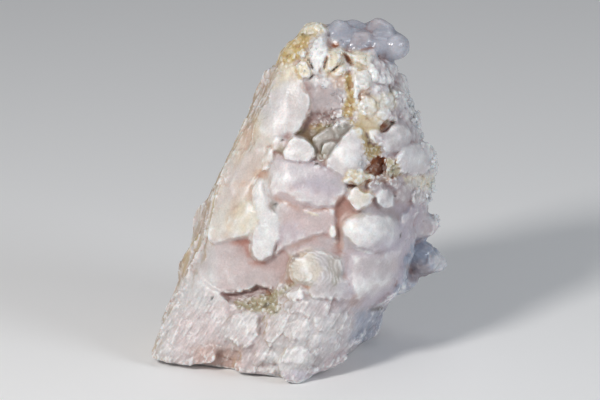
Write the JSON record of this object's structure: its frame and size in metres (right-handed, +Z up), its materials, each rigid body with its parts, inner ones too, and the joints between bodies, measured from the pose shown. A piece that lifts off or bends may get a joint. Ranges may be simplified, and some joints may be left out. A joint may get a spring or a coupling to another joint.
{
  "type": "manganoan calcite specimen",
  "caption": "Tapering mineral specimen of intergrown pale pink calcite with overlapping plates, rounded lobes, a knobbly crown and a flat broken foot.",
  "frame": {"origin": "middle of the outer box in X and Y, on the ground plane that the broken foot rests on", "axes": "+Z up through the crown, +X to the right as the plated front is seen, -Y out of the plated front"},
  "size_m": [0.1086, 0.0828, 0.123],
  "materials": {
    "pink_calcite": "natural sugary to glassy crystal surface, slightly translucent"
  },
  "bodies": {
    "root": {"calcite_specimen": "pink_calcite"}
  },
  "joints": []
}
